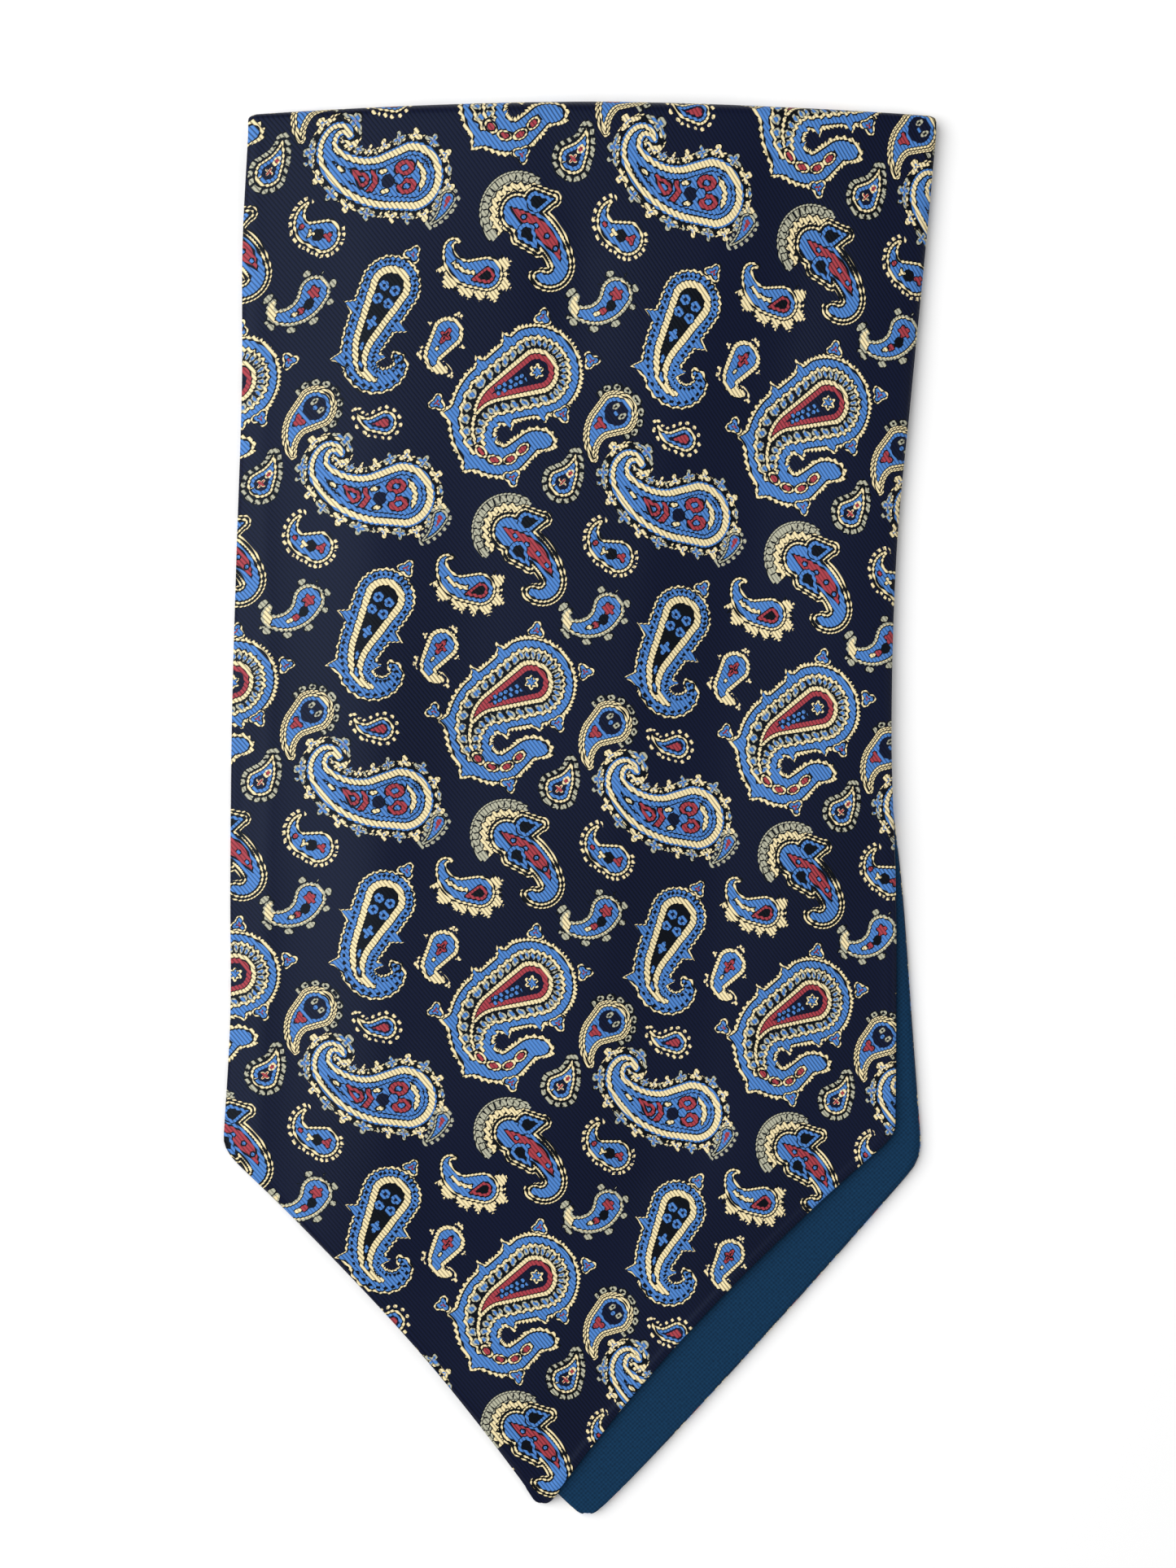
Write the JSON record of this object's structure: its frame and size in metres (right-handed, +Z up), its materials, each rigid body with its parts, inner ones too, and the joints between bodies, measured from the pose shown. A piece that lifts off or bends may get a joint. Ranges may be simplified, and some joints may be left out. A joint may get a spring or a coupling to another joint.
{
  "type": "silk cravat",
  "caption": "printed silk cravat folded once across its width and laid flat: pointed front blade over a lined rear blade, with the neck band folded between them",
  "frame": {"origin": "middle of the folded outline, on the surface that the cravat lies on", "axes": "+X to the right of the laid cravat seen from above with its fold away from the viewer, +Y towards the fold and away from the points, +Z up out of the printed face"},
  "size_m": [0.159, 0.315, 0.0082],
  "materials": {
    "printed_silk": "silk twill with a soft sheen, navy ground printed with paisleys in blue, cream and red",
    "lining": "matt plain-woven lining, deep teal blue",
    "band_silk": "pleated silk, navy"
  },
  "bodies": {
    "root": {"front_blade": "printed_silk", "rear_blade": "printed_silk", "rear_lining": "lining", "neck_band": "band_silk"}
  },
  "joints": []
}
